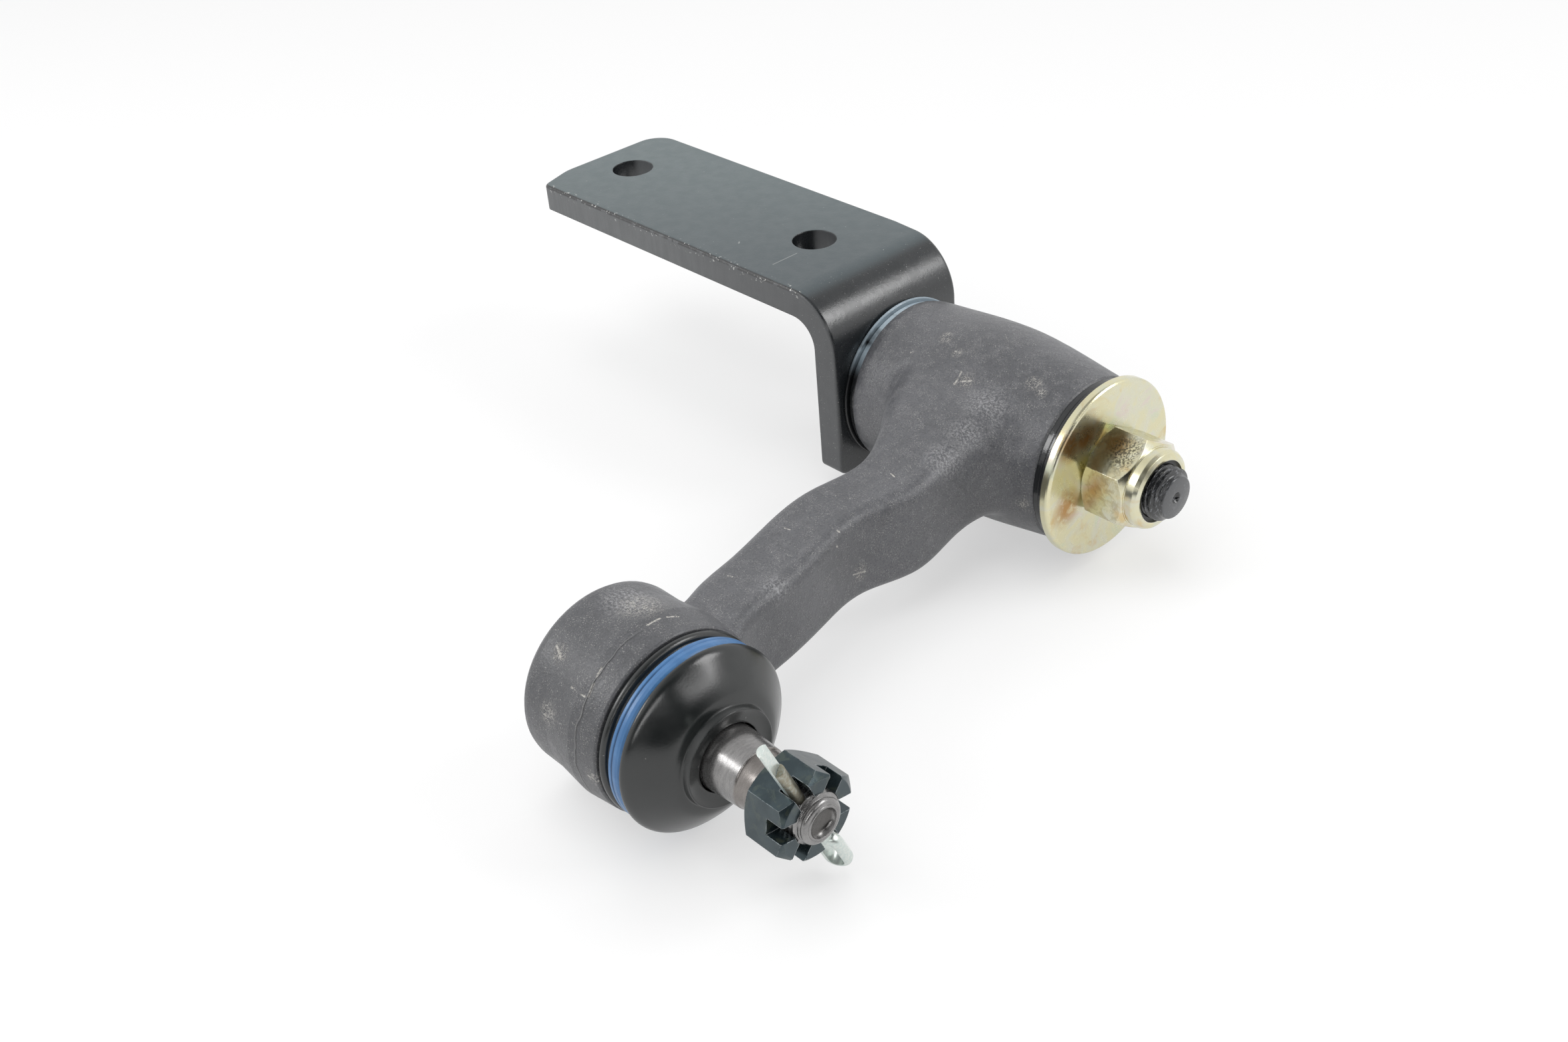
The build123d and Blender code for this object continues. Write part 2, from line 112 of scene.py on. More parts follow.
def skin(name, rows, axis):
    """A closed turned mesh. Each row is (x, radius), and a radius may be a function of x and angle."""
    points = []
    rings = []
    for x, radius in rows:
        if not callable(radius) and radius <= 0:
            points.append(spot(x, axis[0], axis[1]))
            rings.append([len(points) - 1])
            continue
        ring = []
        for k in range(SEGMENTS):
            angle = 2 * math.pi * k / SEGMENTS
            r = radius(x, angle) if callable(radius) else radius
            points.append(spot(x, axis[0] + r * math.cos(angle), axis[1] + r * math.sin(angle)))
            ring.append(len(points) - 1)
        rings.append(ring)
    faces = []
    for a, b in zip(rings, rings[1:]):
        for k in range(SEGMENTS):
            n = (k + 1) % SEGMENTS
            if len(a) == 1:
                faces.append((a[0], b[k], b[n]))
            elif len(b) == 1:
                faces.append((a[k], b[0], a[n]))
            else:
                faces.append((a[k], b[k], b[n], a[n]))
    mesh = bpy.data.meshes.new(name)
    mesh.from_pydata([tuple(p) for p in points], [], faces)
    mesh.update()
    mesh.shade_smooth()
    mesh.set_sharp_from_angle(angle=math.radians(SHARP_ANGLE))
    piece = bpy.data.objects.new(name, mesh)
    bpy.context.scene.collection.objects.link(piece)
    return piece


def steps(start, end, count):
    return [start + (end - start) * k / count for k in range(count + 1)]


def rounded(points, count=4):
    """Cuts the corners of a profile with short curves, so that it turns smoothly."""
    out = [points[0]]
    for before, here, after in zip(points, points[1:], points[2:]):
        a = [(before[i] + here[i]) / 2 for i in (0, 1)]
        b = [(after[i] + here[i]) / 2 for i in (0, 1)]
        for k in range(count + 1):
            t = k / count
            p = [(1 - t) ** 2 * a[i] + 2 * t * (1 - t) * here[i] + t * t * b[i] for i in (0, 1)]
            if p != out[-1]:
                out.append(p)
    out.append(points[-1])
    return out


# Materials

class Finish:
    """A node material. Its helpers work on places in millimetres from the pivot."""

    def __init__(self, name):
        self.material = bpy.data.materials.new(name)
        self.material.use_nodes = True
        self.tree = self.material.node_tree
        self.tree.nodes.clear()
        out = self.add("ShaderNodeOutputMaterial")
        self.surface = self.add("ShaderNodeBsdfPrincipled")
        self.link(self.surface.outputs[0], out.inputs[0])
        coords = self.add("ShaderNodeTexCoord")
        self.place = self.vector("MULTIPLY_ADD", coords.outputs["Object"], (MM_PER_M,) * 3, -ORIGIN)
        self.facing = coords.outputs["Normal"]

    def add(self, kind):
        return self.tree.nodes.new(kind)

    def link(self, a, b):
        self.tree.links.new(a, b)

    def feed(self, socket, value):
        if isinstance(value, bpy.types.NodeSocket):
            self.link(value, socket)
        elif hasattr(socket.default_value, "__len__"):
            value = tuple(value)
            alpha = (1.0,) * (len(socket.default_value) - len(value))
            socket.default_value = value + alpha
        else:
            socket.default_value = value

    def set(self, **values):
        for key, value in values.items():
            self.feed(self.surface.inputs[key.replace("_", " ")], value)

    def math(self, kind, a, b=0.0, c=0.0, clamp=False):
        node = self.add("ShaderNodeMath")
        node.operation = kind
        node.use_clamp = clamp
        for socket, value in zip(node.inputs, (a, b, c)):
            self.feed(socket, value)
        return node.outputs[0]

    def vector(self, kind, a, b=(0, 0, 0), c=(0, 0, 0)):
        node = self.add("ShaderNodeVectorMath")
        node.operation = kind
        for socket, value in zip(node.inputs, (a, b, c)):
            self.feed(socket, value)
        return node.outputs["Value"] if kind in ("DISTANCE", "DOT_PRODUCT") else node.outputs[0]

    def parts(self, value):
        node = self.add("ShaderNodeSeparateXYZ")
        self.link(value, node.inputs[0])
        return node.outputs

    def noise(self, scale, detail=3.0, rough=0.55, stretch=(1, 1, 1), shift=(0, 0, 0), twist=0.0):
        node = self.add("ShaderNodeTexNoise")
        place = self.vector("MULTIPLY_ADD", self.place, stretch, shift)
        self.link(place, node.inputs["Vector"])
        node.inputs["Scale"].default_value = scale
        node.inputs["Detail"].default_value = detail
        node.inputs["Roughness"].default_value = rough
        node.inputs["Distortion"].default_value = twist
        return node.outputs[0]

    def ramp(self, value, low, high, start=0.0, end=1.0):
        node = self.add("ShaderNodeMapRange")
        node.interpolation_type = "SMOOTHSTEP"
        for socket, v in zip(node.inputs, (value, low, high, start, end)):
            self.feed(socket, v)
        return node.outputs[0]

    def mix(self, share, a, b):
        node = self.add("ShaderNodeMix")
        node.data_type = "RGBA"
        self.feed(node.inputs[0], share)
        self.feed(node.inputs[6], a)
        self.feed(node.inputs[7], b)
        return node.outputs[2]

    def near(self, point, inner, outer):
        """1 within inner of a point, 0 past outer."""
        return self.ramp(self.vector("DISTANCE", self.place, point), inner, outer, 1.0, 0.0)

    def stroke(self, a, b, width):
        """1 along the line from a to b, 0 at a little more than its width from it."""
        run = Vector(b) - Vector(a)
        offset = self.vector("SUBTRACT", self.place, a)
        along = self.vector("DOT_PRODUCT", offset, run)
        share = self.math("MULTIPLY", along, 1 / run.length_squared, clamp=True)
        node = self.add("ShaderNodeVectorMath")
        node.operation = "SCALE"
        self.feed(node.inputs[0], run)
        self.feed(node.inputs["Scale"], share)
        gap = self.vector("DISTANCE", offset, node.outputs[0])
        return self.ramp(gap, 0.6 * width, 1.3 * width, 1.0, 0.0)

    def highest(self, values):
        out = values[0]
        for value in values[1:]:
            out = self.math("MAXIMUM", out, value)
        return out

    def edges(self, width, start=0.02, end=0.25):
        """1 along sharp edges, over about the given width in millimetres."""
        soft = self.add("ShaderNodeBevel")
        soft.samples = 8
        soft.inputs["Radius"].default_value = width / MM_PER_M
        true = self.add("ShaderNodeNewGeometry")
        turn = self.vector("DOT_PRODUCT", soft.outputs[0], true.outputs["True Normal"])
        return self.ramp(turn, 1.0 - start, 1.0 - end)

    def bump(self, height, strength, distance=0.1, edge=0.25, samples=4):
        """Feeds the normal: edges rounded over so many millimetres, then the height."""
        soft = self.add("ShaderNodeBevel")
        soft.samples = samples
        self.feed(soft.inputs["Radius"], self.math("MULTIPLY", edge, 1 / MM_PER_M))
        node = self.add("ShaderNodeBump")
        node.inputs["Strength"].default_value = strength
        node.inputs["Distance"].default_value = distance / MM_PER_M
        self.link(height, node.inputs["Height"])
        self.link(soft.outputs[0], node.inputs["Normal"])
        self.set(Normal=node.outputs[0])


def forging():
    """Blasted and phosphated forging: dull grey with pale specks, clusters of scratches, painted sheen
    patches, painted shade on the ball housing and below the seam, and a painted highlight on the seam's
    ridge.
    """
    f = Finish("forging")
    x, y, z = f.parts(f.place)[:3]
    broad = f.noise(0.045, 3)
    medium = f.noise(0.35, 3)
    grain = f.noise(2.2, 2, 0.6)
    speck = f.noise(3.6, 1, 0.5, shift=(7, 3, 1))
    base = f.mix(f.ramp(broad, 0.35, 0.68), (0.074, 0.076, 0.083), (0.100, 0.102, 0.111))
    base = f.mix(f.math("MULTIPLY", f.ramp(medium, 0.46, 0.70), 0.5), base, (0.140, 0.140, 0.148))
    base = f.mix(f.math("MULTIPLY", f.ramp(grain, 0.56, 0.34), 0.55), base, (0.040, 0.041, 0.046))
    # Painted shade: the ball housing is darkened towards -Y.
    base = f.mix(f.ramp(y, -116.0, -134.0, 0.0, 0.32), base, (0.030, 0.031, 0.034))
    fleck = f.math("MULTIPLY", f.ramp(speck, 0.60, 0.70), f.ramp(medium, 0.34, 0.56))
    base = f.mix(f.math("MULTIPLY", fleck, 0.6), base, (0.34, 0.335, 0.32))
    # Painted sheen: patches lightened where the forging catches the light, broken up by noise.
    sheen_patches = f.highest([
        f.near((48.0, -19.0, 17.2), 1, 9),
        f.near((49.8, -28.5, 14.8), 1, 7),
        f.near((51.4, -38.0, 12.4), 1, 8),
        f.near((46.0, -130.5, 18.8), 2, 9),
        f.near((55.5, -98.0, 9.0), 0, 6),
        f.near((61.0, -24.0, 12.0), 0, 6),
    ])
    painted_sheen = f.math("MULTIPLY", sheen_patches, f.ramp(f.noise(1.6, 4, 0.75, shift=(2, 9, 4)), 0.44, 0.62))
    base = f.mix(f.math("MULTIPLY", painted_sheen, 0.8), base, (0.30, 0.30, 0.31))
    scribble = f.ramp(f.noise(1.3, 2, 0.6, stretch=(2.6, 0.7, 1.0), twist=1.2), 0.54, 0.60)
    cross = f.ramp(f.noise(1.5, 2, 0.6, stretch=(0.7, 2.4, 1.2), twist=1.0, shift=(5, 5, 5)), 0.56, 0.62)
    clusters = f.highest([
        f.near((23.8, -7.5, 23.4), 0.6, 2.8),
        f.near((30.5, -10.7, 22.6), 0.4, 2.0),
        f.near((38.0, -16.0, 19.6), 0.8, 3.2),
        f.near((54.0, -8.4, 21.5), 0.8, 3.0),
        f.near((57.3, -9.5, 20.4), 0.4, 2.2),
        f.near((51.3, -68.0, -5.2), 0.8, 3.2),
        f.near((62.3, -21.7, -4.0), 0.6, 3.0),
        f.near((47.0, -155.5, 3.2), 0.8, 4.0),
        f.near((50.0, -130.0, 19.2), 2.0, 7.0),
        f.near((44.0, -148.5, 13.8), 0.6, 3.0),
        f.near((62.0, -156.0, -5.2), 0.6, 3.0),
    ])
    scratched = f.math("MULTIPLY", clusters, f.math("MAXIMUM", scribble, cross))
    lines = f.highest([
        f.stroke((36.0, -17.9, 18.8), (35.3, -14.6, 20.8), 0.34),
        f.stroke((37.3, -16.3, 19.4), (39.3, -15.2, 19.8), 0.26),
        f.stroke((17.4, -14.2, 19.6), (18.4, -13.4, 20.0), 0.26),
        f.stroke((35.8, 1.4, 25.4), (38.2, -0.4, 25.3), 0.22),
        f.stroke((30.2, -1.2, 24.9), (31.6, -2.2, 24.8), 0.22),
        f.stroke((55.0, -21.1, 8.8), (55.1, -22.2, 5.5), 0.16),
        f.stroke((44.6, -49.8, 11.2), (46.2, -50.2, 11.2), 0.2),
        f.stroke((41.0, -81.5, 10.0), (42.4, -81.1, 10.0), 0.2),
        f.stroke((50.6, -73.6, 9.4), (51.1, -73.3, 9.3), 0.3),
        f.stroke((52.3, -75.9, 7.2), (52.5, -75.6, 6.9), 0.3),
        f.stroke((51.4, -70.2, -4.6), (51.2, -66.1, -5.9), 0.22),
        f.stroke((45.0, -102.6, 9.6), (46.0, -102.2, 9.6), 0.22),
        f.stroke((57.0, -134.3, 19.9), (56.9, -130.8, 19.6), 0.26),
        f.stroke((57.3, -129.2, 19.2), (58.1, -127.0, 18.6), 0.3),
        f.stroke((42.2, -147.8, 14.5), (45.4, -149.1, 13.4), 0.3),
        f.stroke((52.1, -151.8, 11.2), (56.8, -151.9, 11.4), 0.28),
        f.stroke((57.6, -151.5, 11.7), (57.4, -149.7, 13.7), 0.36),
        f.stroke((57.2, -148.6, 14.7), (56.9, -146.8, 16.1), 0.28),
        f.stroke((60.3, -156.5, -5.1), (63.0, -155.9, -5.3), 0.26),
    ])
    lines = f.math("MULTIPLY", lines, f.ramp(f.noise(1.9, 3, 0.7), 0.36, 0.52))
    marks = f.math("MAXIMUM", f.math("MULTIPLY", scratched, 0.85), lines)
    base = f.mix(f.math("MULTIPLY", marks, 0.8), base, (0.52, 0.50, 0.46))
    sway = f.math("MULTIPLY", f.math("SUBTRACT", f.noise(0.16, 3), 0.5), 1.8)
    seam = f.math("SUBTRACT", f.math("ADD", x, sway), SEAM)
    on_housing = f.math("MULTIPLY", f.ramp(y, -134.0, -142.0), f.ramp(z, -20.0, -13.0))
    # Painted highlight on the seam's ridge and painted shade just below it; the ridge is also raised in the
    # bump.
    ridge = f.ramp(f.math("ABSOLUTE", seam), 0.08, 0.34, 1.0, 0.0)
    below = f.math("ABSOLUTE", f.math("SUBTRACT", seam, 0.35))
    shade = f.math("MULTIPLY", f.ramp(below, 0.1, 0.4, 1.0, 0.0), on_housing)
    base = f.mix(f.math("MULTIPLY", shade, 0.55), base, (0.03, 0.03, 0.033))
    ridge = f.math("MULTIPLY", ridge, on_housing)
    base = f.mix(f.math("MULTIPLY", ridge, 0.35), base, (0.25, 0.25, 0.25))
    height = f.math("ADD", f.math("MULTIPLY", grain, 0.6), f.math("MULTIPLY", medium, 1.6))
    height = f.math("ADD", height, f.math("MULTIPLY", ridge, 3.0))
    height = f.math("SUBTRACT", height, f.math("MULTIPLY", marks, 0.6))
    web = f.highest([
        f.near((15.0, -22.0, 5.0), 6, 17),
        f.near((53.0, -23.0, 4.0), 6, 17),
    ])
    f.bump(height, 0.7, 0.2, f.math("MULTIPLY_ADD", web, 5.5, 0.5), 8)
    f.set(Base_Color=base, Roughness=f.ramp(medium, 0.3, 0.7, 0.36, 0.50), Specular_IOR_Level=0.7)
    return f.material


def bracket_paint():
    """Semi-gloss black paint over sheared plate, glossier on the bend, matt and ribbed on the edges, with a
    painted sheen on the flat top and painted glints on the bend.
    """
    f = Finish("bracket_paint")
    x, y, z = f.parts(f.place)[:3]
    ny, nz = f.parts(f.facing)[1:3]
    sheared = f.ramp(f.math("ABSOLUTE", ny), 0.6, 0.85)
    flat_top = f.ramp(nz, 0.9, 0.99)
    peel = f.noise(0.9, 3, 0.6)
    fine = f.noise(3.0, 2, 0.5)
    ribs = f.noise(0.9, 3, 0.6, stretch=(1.0, 0.2, 0.06))
    broad = f.noise(0.03, 2)
    base = f.mix(f.ramp(broad, 0.3, 0.7), (0.008, 0.010, 0.012), (0.014, 0.017, 0.019))
    # Painted sheen: the flat top gets a lighter grey-green colour, lighter still towards its far end.
    far = f.ramp(f.math("SUBTRACT", f.math("MULTIPLY", y, 1.2), x), -20.0, 150.0)
    top = f.mix(far, (0.026, 0.044, 0.052), (0.078, 0.112, 0.118))
    top = f.mix(f.math("MULTIPLY", f.ramp(fine, 0.4, 0.6), 0.2), top, (0.06, 0.07, 0.072))
    base = f.mix(f.math("MULTIPLY", flat_top, 0.92), base, top)
    side = f.mix(f.ramp(ribs, 0.3, 0.7), (0.084, 0.090, 0.093), (0.104, 0.110, 0.114))
    side = f.mix(f.ramp(x, -90.0, 0.0, 0.0, 0.8), side, (0.034, 0.036, 0.039))
    side = f.mix(f.math("MULTIPLY", f.ramp(fine, 0.4, 0.6), 0.25), side, (0.066, 0.068, 0.071))
    base = f.mix(sheared, base, side)
    edge = f.math("MULTIPLY", f.ramp(y, -24.0, PLATE_EDGE), f.ramp(z, 30.4, 30.9))
    crack = f.math("MULTIPLY", edge, f.ramp(f.noise(0.35, 4, 0.7, stretch=(1, 1, 0.4)), 0.38, 0.50))
    base = f.mix(f.math("MULTIPLY", crack, 0.9), base, (0.006, 0.006, 0.007))
    near_edge = f.math("MULTIPLY", f.ramp(y, -22.5, -24.5), f.ramp(z, 29.0, 30.6))
    chip = f.math("MULTIPLY", near_edge, f.ramp(f.noise(1.1, 2, 0.6, shift=(3, 0, 8)), 0.64, 0.68))
    specks = f.math("MULTIPLY", f.ramp(f.noise(1.4, 1, 0.5, shift=(1, 4, 2)), 0.78, 0.81), flat_top)
    on_bend = f.ramp(x, -18.0, -10.0)
    # Painted glints in the highlight along the bend.
    bend_glints = f.math("MULTIPLY", f.ramp(f.noise(2.4, 1, 0.5, shift=(4, 4, 2)), 0.72, 0.78), on_bend)
    lines = f.highest([
        f.stroke((-30.4, -17.9, PLATE_FACE), (-30.4, -9.0, PLATE_FACE), 0.14),
        f.stroke((-48.4, -14.2, PLATE_FACE), (-47.8, -14.9, PLATE_FACE), 0.22),
    ])
    marks = f.highest([
        chip,
        f.math("MULTIPLY", specks, 0.5),
        f.math("MULTIPLY", lines, 0.35),
        f.math("MULTIPLY", bend_glints, 0.4),
    ])
    # Pale chips, specks and lines, together with the painted glints on the bend.
    base = f.mix(marks, base, (0.55, 0.55, 0.53))
    height = f.math("ADD", f.math("MULTIPLY", peel, 0.6), f.math("MULTIPLY", fine, 0.35))
    height = f.math("ADD", height, f.math("MULTIPLY", f.math("MULTIPLY", ribs, sheared), 0.35))
    f.bump(height, 0.5, 0.1, 0.6)
    rough = f.ramp(f.noise(0.25, 3), 0.3, 0.7, 0.22, 0.30)
    rough = f.math("ADD", rough, f.math("MULTIPLY", sheared, 0.22))
    rough = f.math("ADD", rough, f.math("MULTIPLY", flat_top, 0.12))
    f.set(Base_Color=base, Roughness=rough, Specular_IOR_Level=0.88)
    return f.material


def yellow_zinc():
    """Yellow chromate over zinc: pale straw with orange, green and rose clouds, amber patches, and painted
    highlights along the nut's edges.
    """
    f = Finish("yellow_zinc")
    cloud = f.noise(0.13, 4, 0.55, twist=0.8)
    other = f.noise(0.11, 4, 0.55, shift=(11, 4, 6), twist=0.6)
    fine = f.noise(1.8, 3, 0.6)
    blotch = f.noise(0.45, 3, 0.6, twist=0.5)
    base = f.mix(f.ramp(cloud, 0.40, 0.60), (0.68, 0.67, 0.53), (0.71, 0.67, 0.45))
    base = f.mix(f.math("MULTIPLY", f.ramp(other, 0.54, 0.70), 0.7), base, (0.62, 0.45, 0.20))
    base = f.mix(f.math("MULTIPLY", f.ramp(other, 0.44, 0.32), 0.6), base, (0.60, 0.65, 0.50))
    base = f.mix(f.math("MULTIPLY", f.ramp(cloud, 0.42, 0.30), 0.5), base, (0.70, 0.58, 0.56))
    amber = f.highest([
        f.near((71.4, -15.0, 13.5), 1, 6),
        f.near((71.4, -10.0, 13.0), 1, 5),
        f.near((75.8, -3.5, 10.8), 1, 6),
        f.near((71.4, -16.0, -4.0), 1, 7),
    ])
    amber = f.math("MULTIPLY", amber, f.ramp(blotch, 0.30, 0.55, 0.35, 0.95))
    base = f.mix(amber, base, (0.44, 0.24, 0.08))
    x = f.parts(f.place)[0]
    nut = f.ramp(x, WASHER_FACE, 72.0)
    flats = f.math("MULTIPLY", nut, f.ramp(x, NUT_TOP, 82.4))
    stained = f.math("MULTIPLY", f.ramp(blotch, 0.46, 0.62), flats)
    base = f.mix(f.math("MULTIPLY", stained, 0.5), base, (0.42, 0.36, 0.20))
    pits = f.math("MULTIPLY", f.near((79.8, -4.5, 9.8), 2.5, 6.5), f.ramp(fine, 0.46, 0.56))
    base = f.mix(f.math("MULTIPLY", pits, f.math("MULTIPLY", flats, 0.8)), base, (0.08, 0.075, 0.055))
    # Painted highlight along the nut's edges.
    edge_wear_and_glint = f.math("MULTIPLY", f.edges(0.4), nut)
    base = f.mix(f.math("MULTIPLY", edge_wear_and_glint, 0.9), base, (0.95, 0.93, 0.86))
    height = f.math("MULTIPLY", blotch, f.math("MULTIPLY_ADD", flats, 1.6, 0.3))
    f.bump(f.math("ADD", f.math("MULTIPLY", fine, 0.12), height), 0.4, 0.07, 0.3)
    face = f.math("MULTIPLY", f.ramp(f.parts(f.facing)[0], 0.9, 0.98), f.ramp(x, 72.0, 71.8))
    rough = f.math("MULTIPLY_ADD", face, 0.06, f.ramp(blotch, 0.3, 0.7, 0.20, 0.26))
    f.set(Base_Color=base, Metallic=1.0, Roughness=rough)
    return f.material


def black_oxide():
    """Black oxide with a blue-grey sheen, and edges worn through to steel with a painted highlight on them.
    """
    f = Finish("black_oxide")
    cloud = f.noise(0.25, 3)
    fine = f.noise(1.6, 3, 0.6)
    base = f.mix(f.ramp(cloud, 0.35, 0.65), (0.005, 0.009, 0.011), (0.018, 0.026, 0.029))
    base = f.mix(f.math("MULTIPLY", f.ramp(fine, 0.66, 0.80), 0.2), base, (0.10, 0.105, 0.11))
    tint = f.ramp(f.noise(0.4, 3, 0.6, shift=(9, 2, 5), twist=0.6), 0.50, 0.66)
    base = f.mix(f.math("MULTIPLY", tint, 0.5), base, (0.050, 0.058, 0.040))
    # Edges worn through to steel, with a painted highlight on them.
    edge_wear_and_glint = f.math("MULTIPLY", f.edges(0.4), f.ramp(f.noise(0.7, 2, 0.6, shift=(3, 3, 3)), 0.36, 0.52))
    base = f.mix(f.math("MULTIPLY", edge_wear_and_glint, 0.85), base, (0.46, 0.48, 0.49))
    f.bump(cloud, 0.35, 0.15, 0.3)
    f.set(Base_Color=base, Roughness=f.ramp(cloud, 0.3, 0.7, 0.14, 0.22))
    f.set(Specular_IOR_Level=0.75, Specular_Tint=(0.72, 0.92, 1.0))
    return f.material


def bright_steel():
    """Bare turned steel, dull grey with fine marks round it, browner in its relief, with painted shade in
    the dish of its end.
    """
    f = Finish("bright_steel")
    turned = f.noise(0.8, 3, 0.6, stretch=(2.5, 0.6, 0.6))
    fine = f.noise(2.5, 3, 0.6)
    base = f.mix(f.ramp(turned, 0.3, 0.7), (0.23, 0.226, 0.224), (0.30, 0.294, 0.290))
    x = f.parts(f.place)[0]
    start, end = STUD_RELIEF
    relief = f.math("MULTIPLY", f.ramp(x, start, start + 0.4), f.ramp(x, end, end - 0.4))
    base = f.mix(f.math("MULTIPLY", relief, 0.5), base, (0.20, 0.17, 0.15))
    base = f.mix(f.math("MULTIPLY", f.ramp(fine, 0.62, 0.75), 0.2), base, (0.13, 0.12, 0.11))
    # Painted shade in the dish of the stud's end.
    reach = f.vector("DISTANCE", f.place, STUD_END)
    base = f.mix(f.ramp(reach, DISH_RADIUS, 3.0, 0.0, 0.75), base, (0.07, 0.066, 0.062))
    f.bump(f.math("ADD", f.math("MULTIPLY", turned, 0.6), f.math("MULTIPLY", fine, 0.3)), 0.25, 0.06, 0.2)
    f.set(Base_Color=base, Metallic=0.85, Roughness=f.ramp(fine, 0.3, 0.7, 0.22, 0.28))
    return f.material


def pale_zinc():
    """Pale zinc on the split pin, browned on the short leg."""
    f = Finish("pale_zinc")
    fine = f.noise(1.6, 3, 0.6)
    z = f.parts(f.place)[2]
    base = f.mix(f.ramp(fine, 0.35, 0.7), (0.60, 0.67, 0.64), (0.74, 0.77, 0.73))
    leg = f.vector("DOT_PRODUCT", f.vector("SUBTRACT", f.place, PIN_CENTRE), PIN_SHORT_SIDE)
    short = f.math("MULTIPLY", f.ramp(leg, 0.0, 0.12), f.ramp(z, BALL_Z + 1.0, BALL_Z + 3.0))
    base = f.mix(f.math("MULTIPLY", short, f.ramp(fine, 0.25, 0.6, 0.6, 0.95)), base, (0.26, 0.235, 0.17))
    f.bump(fine, 0.3, 0.06, 0.3)
    f.set(Base_Color=base, Metallic=0.7, Roughness=0.3)
    return f.material


def gloss_black():
    """Glossy black seal plastic with a painted bluish highlight streaked over its upper side."""
    f = Finish("gloss_black")
    place = f.parts(f.place)
    x = place[0]
    z = place[2]
    sheen_streaks = f.noise(0.14, 2, 0.5, stretch=(0.3, 1.0, 1.0))
    up = f.math("MULTIPLY", f.ramp(z, 9.0, 16.0), f.ramp(x, 4.0, 3.0))
    # Painted highlight: pale bluish streaks on the upper side.
    share = f.math("MULTIPLY", f.ramp(sheen_streaks, 0.28, 0.44), up)
    base = f.mix(f.math("MULTIPLY", share, 0.85), (0.010, 0.011, 0.012), (0.36, 0.44, 0.50))
    f.bump(f.noise(0.7, 2), 0.4, 0.15, 0.4)
    f.set(Base_Color=base, Roughness=0.16, Specular_IOR_Level=0.6)
    return f.material


def rubber():
    """Satin black rubber, slightly dusty."""
    f = Finish("rubber")
    cloud = f.noise(0.12, 3)
    fine = f.noise(2.2, 2, 0.5)
    base = f.mix(f.ramp(cloud, 0.35, 0.65), (0.011, 0.013, 0.013), (0.016, 0.018, 0.018))
    speck = f.ramp(f.noise(1.1, 1, 0.5, shift=(4, 1, 9)), 0.80, 0.84)
    base = f.mix(f.math("MULTIPLY", speck, 0.5), base, (0.3, 0.3, 0.29))
    f.bump(fine, 0.25, 0.05, 0.3)
    f.set(Base_Color=base, Roughness=f.ramp(cloud, 0.3, 0.7, 0.19, 0.25), Specular_IOR_Level=0.68)
    return f.material


def blue_ring():
    """Mid-blue plastic ring, with painted shade in its groove round the lower side."""
    f = Finish("blue_ring")
    cloud = f.noise(0.4, 2)
    base = f.mix(f.ramp(cloud, 0.3, 0.7), (0.050, 0.150, 0.330), (0.065, 0.180, 0.380))
    x, y = f.parts(f.place)[:2]
    # Painted shade: a darker blue line in the groove, round the lower side only.
    groove = f.ramp(f.math("ABSOLUTE", f.math("SUBTRACT", x, RING_GROOVE)), 0.12, 0.34, 1.0, 0.0)
    groove = f.math("MULTIPLY", groove, f.ramp(y, BALL_Y - 3.0, BALL_Y - 9.0))
    base = f.mix(f.math("MULTIPLY", groove, 0.75), base, (0.012, 0.035, 0.085))
    f.bump(f.noise(1.5, 2), 0.2, 0.05, 0.2)
    f.set(Base_Color=base, Roughness=0.34, Specular_IOR_Level=0.5)
    return f.material


def black_shaft():
    """Blackened steel, glossy, with painted highlights streaking the thread and a lighter end face."""
    f = Finish("black_shaft")
    fine = f.noise(1.5, 3, 0.6)
    base = f.mix(f.ramp(fine, 0.4, 0.7), (0.012, 0.013, 0.014), (0.030, 0.031, 0.034))
    x = f.parts(f.place)[0]
    # Painted highlights: pale streaks on the thread past the nut.
    streaks = f.noise(1.4, 3, 0.7, stretch=(2.6, 0.45, 0.45), shift=(2, 6, 1))
    thread_glints = f.math("MULTIPLY", f.ramp(streaks, 0.56, 0.64), f.ramp(x, 86.0, 87.0))
    base = f.mix(f.math("MULTIPLY", thread_glints, 0.6), base, (0.26, 0.27, 0.29))
    end = f.ramp(x, SHAFT_END, SHAFT_END + 0.25)
    base = f.mix(f.math("MULTIPLY", end, 0.8), base, (0.070, 0.073, 0.078))
    f.bump(fine, 0.25, 0.06, 0.2)
    f.set(Base_Color=base, Roughness=f.ramp(fine, 0.3, 0.7, 0.12, 0.22), Specular_IOR_Level=0.8)
    return f.material


def plain(name, dark, light, rough, metal=0.0):
    """A simple two-tone finish with a fine grain."""
    f = Finish(name)
    cloud = f.noise(0.5, 3)
    f.bump(f.noise(1.8, 2), 0.3, 0.05, 0.2)
    f.set(Base_Color=f.mix(f.ramp(cloud, 0.35, 0.65), dark, light), Roughness=rough, Metallic=metal)
    return f.material


FORGING = forging()
PAINT = bracket_paint()
ZINC = yellow_zinc()
OXIDE = black_oxide()
STEEL = bright_steel()
PIN = pale_zinc()
GLOSS = gloss_black()
RUBBER = rubber()
BLUE = blue_ring()
SHAFT = black_shaft()
NYLON = plain("insert_nylon", (0.02, 0.02, 0.021), (0.035, 0.035, 0.036), 0.4)
SEAT = plain("seat_plastic", (0.62, 0.60, 0.52), (0.72, 0.70, 0.62), 0.45)
SPRING = plain("spring_steel", (0.30, 0.30, 0.31), (0.42, 0.42, 0.43), 0.35, 1.0)

